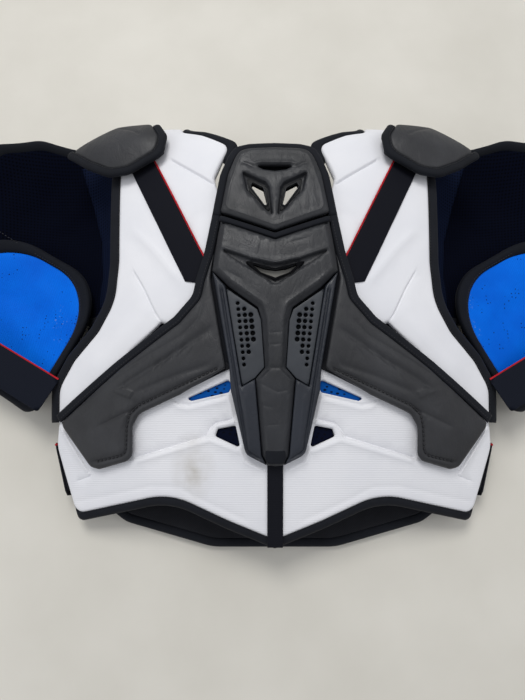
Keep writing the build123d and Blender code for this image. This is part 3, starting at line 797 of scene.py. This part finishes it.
# ------------------------------------------------------------------ neck plate
def build_neck_plate():
    side = beside(NECK, 8.4)
    half = [(0, side[0][1])] + side[1:-1] + [(52.6, 99, 2.5), (0, 79.5, 6)]
    edge = rounded(both_sides(half), 0.0, step=3)
    slot = rounded([(-18, 147.6), (-13, 148.4), (13, 148.4), (18, 147.6), (11, 143.6), (0, 142),
                   (-11, 143.6)], 1.0, step=1.5)
    eye = rounded([(21.6, 130), (11.2, 124), (7.2, 107), (9.6, 105.4), (23.6, 126)], 0.8, step=1.5)
    eyes = [eye, flipped(eye)]
    brow = [(31.5, 140.5), (9, 129), (5.6, 123.5), (2.6, 94), (9.5, 101), (27, 121)]
    relief = [Plateau(brow, -5.4, 1.9, 0.8), Plateau(flipped(brow), -5.4, 1.9, 0.8),
              Groove([(20, 145.4), (27, 149.6), (33, 151.5)], 1.4, 1.2, 6),
              Groove([(-20, 145.4), (-27, 149.6), (-33, 151.5)], 1.4, 1.2, 6),
              Groove([(-22, 149), (-14, 151), (14, 151), (22, 149)], 1.6, -0.9, 5),
              Groove(across([(0, 84.2), (47.5, 102.5), (44, 124), (37, 149), (33, 160), (24, 164),
                             (0, 165)][::-1]), 1.0, -0.6, 0, 6)]
    pad = panel(edge, on_back, 12.0, 8.0, 3.0, 2.6, [slot] + eyes, relief, bulge=0.8, step=4)
    add("neck_plate_leather", pad, plate_leather, "neck_plate", ["neck_plate_pad"])
    # A near-black sheet in each brow recess, round the eye hole: painted shade of the recess.
    socket = piece([(27.6, 136.4), (9.4, 127.2), (7, 122.6), (4.6, 98.6), (9.2, 103.4), (25, 121.6)], 1.0,
                   2, on_back, 7.5, 1.4, 0.6, 0.6, [eye], step=4)
    pair("eye_socket_painted_shade", socket, socket_painted_shade, "neck_plate", None)
    base = piece(both_sides([(0, 172), (24, 171), (38, 164), (50, 126), (53, 99.3), (0, 80)]), 1, 5,
                 on_back, 3.7, 3.0, 1.2, 1.2, eyes, step=6)
    add("neck_plate_tray", base, tray_plastic, "neck_plate", ["neck_plate_base"])
    rim = piece(strip(across(NECK[::-1]), 0.4, -8.8), 0, 3, on_back, 7.9, 7.0, 3.4, 3.4, step=4)
    add("neck_plate_binding_tape", rim, binding, "neck_plate", ["neck_plate_binding"])


# ------------------------------------------------------------------ spine guard
def grille_holes():
    """Punched holes in eleven rows, two to three wide, that lean with the grille's outer edge."""
    holes = []
    for row in range(11):
        width = min(row + 1, 3, (12 - row) // 2 if row > 6 else 3)
        for k in range(max(1, width)):
            x = 35.4 - 0.62 * row - 5.6 * k
            y = 9.4 - 5.75 * row + 0.25 * k
            holes.append([(x + r * cos(a), y + r * sin(a)) for r in (1.7 + 0.27 * k,)
                          for a in np.arange(0, 2 * pi, pi / 7)])
    return holes


def build_spine_guard():
    lip = [(0, 77.8), (51.4, 96.2, 1), (54.6, 78), (60, 41, 2), (43.4, 24.6, 3), (16.2, 5, 3),
           (12.7, -8, 3), (9.7, -51, 2), (18.4, -61.3, 1.5), (12.2, -131), (7.5, -139.8, 2), (0, -140.6)]
    edge = rounded(both_sides(lip), 0.0, step=3)
    smile = rounded([(-25, 48.4), (-10, 42.4), (0, 41), (10, 42.4), (25, 48.4), (13, 38), (0, 33),
                    (-13, 38)], 1.0, step=1.5)
    flat = [(4.9, -50), (6, -10), (9.5, 6, 8), (42, 30), (58.2, 42)]
    channel = [(0, 80), (56, 100), (55, 88.5), (0, 69.4), (-55, 88.5), (-56, 100)]
    mouth = [(-53, 61.5), (-23, 50.4), (0, 45.2, 8), (23, 50.4), (53, 61.5), (36, 48.5), (20, 38),
             (2, 26.4, 2), (-2, 26.4, 2), (-20, 38), (-36, 48.5)]
    relief = [Plateau(channel, -4.2, 2.0, 1.0), Plateau(mouth, -3.6, 1.3, 0.8),
              Groove([(-52, 63), (-23, 51.6), (0, 46.4), (23, 51.6), (52, 63)], 1.5, -1.2, 8, 8),
              Groove(flat, 2.2, -0.9, 6), Groove(flipped(flat), 2.2, -0.9, 6),
              Groove([(-18, -62), (-5, -52), (5, -52), (18, -62)], 1.2, 0.9, 3, 2),
              Groove([(5.4, -53), (5.0, -92), (4.6, -126)], 1.3, -0.4, 12),
              Groove([(-8, -20), (8, -19)], 0.8, 0.3, 4), Groove([(-8, -31), (8, -30)], 0.8, 0.35, 4),
              Groove([(-14, -66), (2, -74), (12, -72)], 1.0, 0.45, 6),
              Groove([(-12, -86), (-2, -88)], 1.0, 0.4, 4), Groove([(-9, -104), (4, -103)], 0.9, 0.35, 4),
              Groove([(14, 66), (34, 72)], 1.0, 0.35, 8), Groove([(-14, 66), (-16, 54)], 1.0, 0.3, 5),
              Groove([(-48, 40), (-30, 30)], 1.2, 0.4, 8)]
    pad = panel(edge, on_back, 12.9, 7.5, 5.4, 5.0, [smile], relief, bulge=0.5, step=4, chamfer=0.85)
    add("spine_guard_leather", pad, plate_leather, "spine_guard", ["spine_guard_pad"])
    # A near-black inset round the smile vent, in the dark tray plastic: painted shade of the mouth's
    # recess.
    lips = [(-32, 50.6), (0, 42.2), (32, 50.6), (15, 37), (0, 30.2), (-15, 37)]
    smile_shade_inset = piece(lips, 1.2, 2, on_back, 10.2, 1.4, 0.6, 0.6, [smile], step=4)
    add("smile_painted_shade", smile_shade_inset, tray_plastic, "spine_guard", ())
    patch = piece([(-9.2, -126.5), (9.2, -126.5), (9.6, -133), (6.8, -138.6), (-6.8, -138.6), (-9.6, -133)],
                  1.6, 2, on_back, 13.15, 2.0, 0.8, 0.8, step=3, bulge=0.3)
    add("spine_tip_patch", patch, binding, "spine_guard", ())
    edge = [(0, 77.5), (50.3, 95.3)] + [(p[0] - 0.8, *p[1:]) for p in GUARD[1:-1]] + [(0, -140.4)]
    tray = piece(both_sides(edge), 0.0, 4, on_back, 5.1, 2.2, 0.9, 0.9, [smile], step=6)
    add("spine_guard_tray", tray, tray_plastic, "spine_guard", ["spine_guard_base"])
    trim = strip([(-53.5, 93.6), (0, 74.5, 3), (53.5, 93.6)], -2.6, 3.2)
    welt = piece(trim, 0.8, 3, on_back, 10.9, 4.5, 1.6, step=3)
    add("spine_guard_top_welt", welt, binding, "spine_guard", ())
    backing = piece(both_sides([(0, 43), (27, 50), (16, 36), (0, 33)]), 1, 3, on_back, 4.2, 1.2, 0.5,
                    step=5)
    add("smile_vent_backing", backing, pale_lining, "spine_guard", ())
    outer = [(59.4, 39.4)] + [(p[0] - 0.5, *p[1:]) for p in GUARD[3:-1]] + [(8.4, -139.6)]
    rail = rounded(outer + [(12.8, -131), (19.0, -61.8), (31.4, -68.4), (47.2, 25.5)], 0.0, step=3)
    relief = [Groove([(51, 24), (36, -68), (26.5, -127), (13, -135)], 1.2, 2.8, 5, 6),
              Groove([(28, -74), (23, -124)], 2.2, -1.0, 8), Groove([(55, 30), (40.5, -62)], 2.0, -0.9, 8)]
    skin = panel(rail, on_back, 10.9, 5.5, 2.2, 2.0, (), relief, step=4)
    pair("spine_guard_rail_skin", skin, rail_skin, "spine_guard", "spine_guard_rail")
    mesh = piece([(46.6, 24), (17, 3.5), (13.2, -7), (10.2, -50.5), (19.3, -60.6), (31, -67.6)], 0.8, 3,
                 on_back, 8.0, 2.6, 0.9, 0.9, grille_holes(), step=4)
    pair("vent_grille_moulding", mesh, grille_skin, "spine_guard", "vent_grille")


# ------------------------------------------------------------------ arms
def ring(outline, width):
    """The outline, and the same one grown by width, as a rim with a hole."""
    path = outline + outline[:2]
    area = sum(a[0] * b[1] - b[0] * a[1] for a, b in zip(outline, outline[1:] + outline[:1]))
    return beside(path, width if area > 0 else -width)[1:-1]


CAP = [(186, 14, 12), (181, 100, 30), (212, 202, 30), (262, 212, 40), (312, 200, 30), (338, 110, 30),
       (326, 62, 12), (262, 34, 20)]


def build_arms():
    corners = ((-73, 10, 64), (73, 10, 64), (73, 150, 18), (-73, 150, 18))
    inner = [(*arm_point(out, down), radius) for out, down, radius in corners]
    plan = rounded(inner, step=3)
    relief = [Groove([arm_point(-60, 70), arm_point(-20, 60), arm_point(40, 66)], 7, 1.0, 25, 30),
              Groove([arm_point(-30, 30), arm_point(10, 24)], 6, 0.8, 12)]
    lining = panel(plan, on_guard, 0.4, 7.0, 3.0, 3.0, (), relief, bulge=1.0, step=6, wobble=0.8)
    pair("bicep_lining_fabric", lining, blue_fabric, "bicep_guard_{}", "bicep_guard_lining")
    shell = panel(plan, on_guard, -7.3, 3.0, 1.4, step=8)
    pair("bicep_guard_shell_skin", shell, cap_plastic, "bicep_guard_{}", "bicep_guard_shell")
    rim = piece(ring(inner, 9.8), 0.0, 3, on_guard, 2.2, 13.0, 5.2, 6.0,
                [rounded(ring(inner, -1.2), step=3)], step=5)
    pair("bicep_binding_roll", rim, navy_edge, "bicep_guard_{}", "bicep_guard_binding")
    loop = ring(inner, 1.4)
    stitched("bicep_binding_stitches", loop + loop[:1], on_guard, 1.6, "bicep_guard_{}")

    def box(left, right, start, end):
        return [arm_point(*p) for p in ((left, start), (right, start), (right, end), (left, end))]

    web = piece(box(-92, 92, 112, 150), 3, 4, on_strap, 0, 1.8, 0.8, step=6)
    pair("bicep_strap_web", web, arm_web, "arm_strap_{}", "bicep_strap")
    red = piece(box(-91, 91, 110.8, 112.6), 0.5, 4, on_strap, 0.3, 1.9, 0.8, step=4)
    pair("bicep_strap_red_edge", red, red_edge, "arm_strap_{}", None)
    fold = piece(box(79, 91, 115, 147), 2.5, 3, on_strap, -2.6, 8.0, 2.4, step=5)
    pair("bicep_strap_fold", fold, navy_edge, "bicep_guard_{}", None)

    edge = rounded(CAP, step=3)
    folds = [Groove([(214, 150), (236, 128), (262, 120)], 7, 1.6, 20, 30),
             Groove([(250, 190), (270, 150), (300, 130)], 9, 1.5, 25, 30)]
    liner = panel(edge, on_cap, 0.4, 4.2, 2.0, 2.0, (), folds, bulge=1.0, step=7, wobble=1.0)
    pair("cap_liner_mesh", liner, mesh_lining, "shoulder_cap_{}", "shoulder_cap_liner")
    shell = panel(edge, on_cap, -4.3, 3.0, 1.4, step=9)
    pair("cap_shell_skin", shell, cap_plastic, "shoulder_cap_{}", "shoulder_cap_shell")
    rim = piece(ring(CAP, 7.8), 0.0, 3, on_cap, 1.6, 8.6, 4.2, 4.2, [rounded(ring(CAP, -1.4), step=3)],
                step=5)
    pair("cap_binding_roll", rim, binding, "shoulder_cap_{}", "shoulder_cap_binding")


SLEEVE_TOP = [(225, -76), (226, -62), (209, -33), (182, -5), (166, 22), (163, 60), (165, 110), (168, 150),
              (170, 215)]
SLEEVE_FOOT = [(236, -60), (232, -52), (216, -24), (204, 4), (196, 30), (192, 66), (196, 110), (206, 150),
               (222, 200)]
SLEEVE_FOOT_HEIGHTS = [26, 26, 24, 24, 24, 22, 22, 28, 38]


def build_sleeves():
    """Mesh lining that runs from the armhole down into the shoulder cap, stretched between the two."""
    top, foot, foot_z = SLEEVE_TOP, SLEEVE_FOOT, SLEEVE_FOOT_HEIGHTS
    rows, columns, sag_depth, under = 12, 48, 7.0, -7.0
    spread = np.linspace(0, len(top) - 1, columns + 1)
    marks = np.arange(len(top))
    ends = [[np.interp(spread, marks, [p[i] for p in line]) for i in (0, 1)] for line in (top, foot)]
    start_z = on_arch(ends[0][0], ends[0][1], np.full(columns + 1, under))[2]
    end_z = np.interp(spread, marks, foot_z)
    grids = []
    for level in (0.0, -2.2):
        grid = []
        for r in range(rows + 1):
            t = r / rows
            sag = sag_depth * sin(pi * t)
            pucker = 0.7 * np.sin(spread * 9.0) * sin(pi * t)
            x = ends[0][0] * (1 - t) + ends[1][0] * t
            y = ends[0][1] * (1 - t) + ends[1][1] * t
            z = start_z * (1 - t) + end_z * t - sag + pucker + level
            grid.append(np.stack([x + level * 0.6, y, z], 1))
        grids.append(np.concatenate(grid))
    wide = columns + 1
    count = len(grids[0])
    faces = []
    for r in range(rows):
        for c in range(columns):
            a = r * wide + c
            faces.append((a, a + wide, a + wide + 1, a + 1))
            faces.append((a + count, a + 1 + count, a + wide + 1 + count, a + wide + count))
    border = ([r * wide for r in range(rows + 1)] + [rows * wide + c for c in range(1, wide)] +
              [r * wide + columns for r in range(rows - 1, -1, -1)] + list(range(columns - 1, 0, -1)))
    faces += [(b, a, a + count, b + count) for a, b in zip(border, border[1:] + border[:1])]
    shape = (np.concatenate(grids), faces)
    for side, tag in SIDES:
        body = ("torso", f"shoulder_cap_{tag}", (side * 0.172, 0.05, 0.05), (side * 0.215, 0.05, 0.05))
        add(f"sleeve_lining_{tag}", shape if side > 0 else mirrored(shape), sleeve_mesh, body, ())


# ------------------------------------------------------------------ epaulets
EPAULET = [(220, 192.5, 4), (167, 214, 8), (129, 211, 6), (118, 190, 12), (120, 173, 16), (149, 157, 26),
           (168, 157, 26), (192, 171, 30)]


def build_epaulets():
    relief = [Groove([(166, 210), (150, 202), (137, 192)], 1.6, 0.9, 8),
              Groove([(200, 188), (160, 180), (128, 188)], 9, -0.8, 20, 30)]
    pad = piece(EPAULET, 0.0, 3, on_epaulet, 0, 7.5, 3.4, 3.2, (), relief, bulge=1.2, step=5, wobble=0.3)
    pair("epaulet_leather", pad, wing_leather, "epaulet_{}", "epaulet_pad")
    path = [(127.5, 207)] + EPAULET[3:] + [(222, 196)]
    rim = strip(path, -1.2, 8.0)
    rim = [(*p[:2], 4.0) if k in (0, len(rim) // 2 - 1, len(rim) // 2, len(rim) - 1) else p for k, p in
           enumerate(rim)]
    rim = piece(rim, 0.0, 2, on_epaulet, 0.6, 7.6, 3.8, 3.6, step=4)
    pair("epaulet_binding_tape", rim, binding, "epaulet_{}", "epaulet_binding")
    stitched("epaulet_stitches", beside(path, 1.0), on_epaulet, 0.6, "epaulet_{}")
    tab = piece([(114, 174), (127, 174), (127, 195), (114, 195)], 2.5, 3, on_epaulet, -8.6, 6.0, 1.6,
                step=5)
    pair("epaulet_sewn_tab", tab, binding, "torso", None)


# ------------------------------------------------------------------ front of the vest and side belts
def build_front():
    half = [(0, 34), (44, 82), (52, 117.5), (157, 117.5), (154, 30, 30), (152, -60, 20), (196, -116, 16),
            (186, -162, 16), (150, -188, 30), (62, -212, 60), (0, -212)]
    sheet = piece(both_sides(half), 0.0, 5, on_floor, FRONT_TOP, 4.5, 2.0, step=12)
    add("front_panel_foam", sheet, front_fabric, "torso", ["front_panel"])
    path = [(186, -162, 16), (150, -188, 30), (62, -212, 60), (0, -212)]
    hem = piece(strip(across(path), 1.0, -8.8), 0.0, 4, on_floor, 11.4, 8.6, 4.0, step=5)
    add("front_hem_binding_tape", hem, binding, "torso", ["front_hem_binding"])
    pads = (("chest_pad", [(50, 112), (150, 112), (144, -52), (24, -54), (26, -28), (46, 18)]),
            ("rib_pad", [(100, -60), (146, -60), (186, -116), (178, -158), (146, -180), (104, -190)]))
    for name, points in pads:
        shape = piece(points, 6, 4, on_floor, 7.0, 7.0, 3.0, 2.6, step=9)
        pair(f"{name}_foam", shape, front_fabric, "torso", name)
    belly = piece(both_sides([(0, -60), (94, -60), (97, -190), (60, -204), (0, -204)]), 6, 4, on_floor, 7.0,
                  7.0, 3.0, 2.6, step=9)
    add("belly_pad_foam", belly, front_fabric, "torso", ["belly_pad"])
    sternum = piece(both_sides([(0, 100), (34, 92), (38, 22), (20, -20), (0, -26)]), 5, 4, on_floor, 6.4,
                    6.4, 2.6, 2.4, step=8)
    add("sternum_guard_leather", sternum, wing_leather, "sternum_flap", ["sternum_guard"])


def build_belts():
    """Side belts that hang edge-on beside the foam between the waist and hem corners."""
    waist, hem_corner = (222.0, -118.0), (201.0, -187.0)
    ux, uy = unit(hem_corner[0] - waist[0], hem_corner[1] - waist[1])
    out, drop, half, depth = 5.5, 24.0, 28.0, 19.0
    x0, y0 = waist[0] + ux * drop - uy * out, waist[1] + uy * drop + ux * out
    top = float(back_height(x0, y0)) - 5.0

    def on_side(u, v, level):
        return x0 + ux * u - uy * level, y0 + uy * u + ux * level, top + v

    corners = [(-half, -depth), (half, -depth), (half, 0), (-half, 0)]
    web = piece(corners, 2, 3, on_side, 1.0, 2.0, 0.9, step=5)
    pair("side_belt_web", web, black_web, "waist_belt_{}", "side_belt")
    bar = piece([(-half + 1, -9), (-half + 3.4, -9), (-half + 3.4, 1), (-half + 1, 1)], 0.5, 2, on_side,
                1.7, 3.4, 0.7, step=3)
    pair("side_belt_red_tack", bar, red_edge, "waist_belt_{}", None)
    fold = piece([(-half + 2, -4), (half - 4, -4), (half - 4, 0), (-half + 2, 0)], 1.5, 3, on_side, -1.2,
                 7.0, 1.5, step=4)
    pair("side_belt_anchor", fold, binding, "torso", None)


build_back()
build_arches()
build_straps()
build_yoke()
build_neck_plate()
build_spine_guard()
build_arms()
build_sleeves()
build_epaulets()
build_front()
build_belts()


# ------------------------------------------------------------------ floor, light and camera
def make_stage():
    bpy.ops.mesh.primitive_plane_add(size=60.0)
    floor = bpy.context.object
    floor.name = "floor"
    m = Nodes("pale_floor", (0.66, 0.63, 0.56), 0.55)
    m.color(m.mix(m.ramp(m.noise(9.0, 4.0), 0.3, 0.7), (0.62, 0.595, 0.53), (0.68, 0.655, 0.59)))
    floor.data.materials.append(m.material)


def area_light(name, place, aim, size, power, color=(1, 1, 1)):
    light = bpy.data.lights.new(name, "AREA")
    light.size, light.energy, light.color = size, power, color
    obj = bpy.data.objects.new(name, light)
    obj.location = place
    obj.rotation_euler = (Vector(aim) - Vector(place)).to_track_quat("-Z", "Y").to_euler()
    bpy.context.scene.collection.objects.link(obj)


def make_lights():
    area_light("ceiling_panel", (-0.3, 1.3, 2.2), (0, -0.05, 0), 1.0, 32, (1.0, 0.99, 0.97))
    area_light("fill_left", (-1.8, -0.5, 1.5), (0, 0, 0), 1.4, 6, (0.95, 0.97, 1.0))
    area_light("fill_right", (1.6, 0.3, 1.6), (0, 0, 0), 1.2, 5)
    world = bpy.data.worlds.new("studio")
    world.use_nodes = True
    world.node_tree.nodes["Background"].inputs["Color"].default_value = (0.93, 0.95, 1.0, 1)
    world.node_tree.nodes["Background"].inputs["Strength"].default_value = 0.5
    bpy.context.scene.world = world
    bpy.context.scene.view_settings.view_transform = "Standard"


def make_camera():
    camera = bpy.data.cameras.new("camera")
    camera.lens, camera.sensor_width = 27.0, 36.0
    camera.clip_start = 0.01
    obj = bpy.data.objects.new("camera", camera)
    obj.location = (-0.012, -0.145, 0.580)
    obj.rotation_euler = (radians(13.0), 0, 0)
    bpy.context.scene.collection.objects.link(obj)
    bpy.context.scene.camera = obj


make_stage()
make_lights()
make_camera()
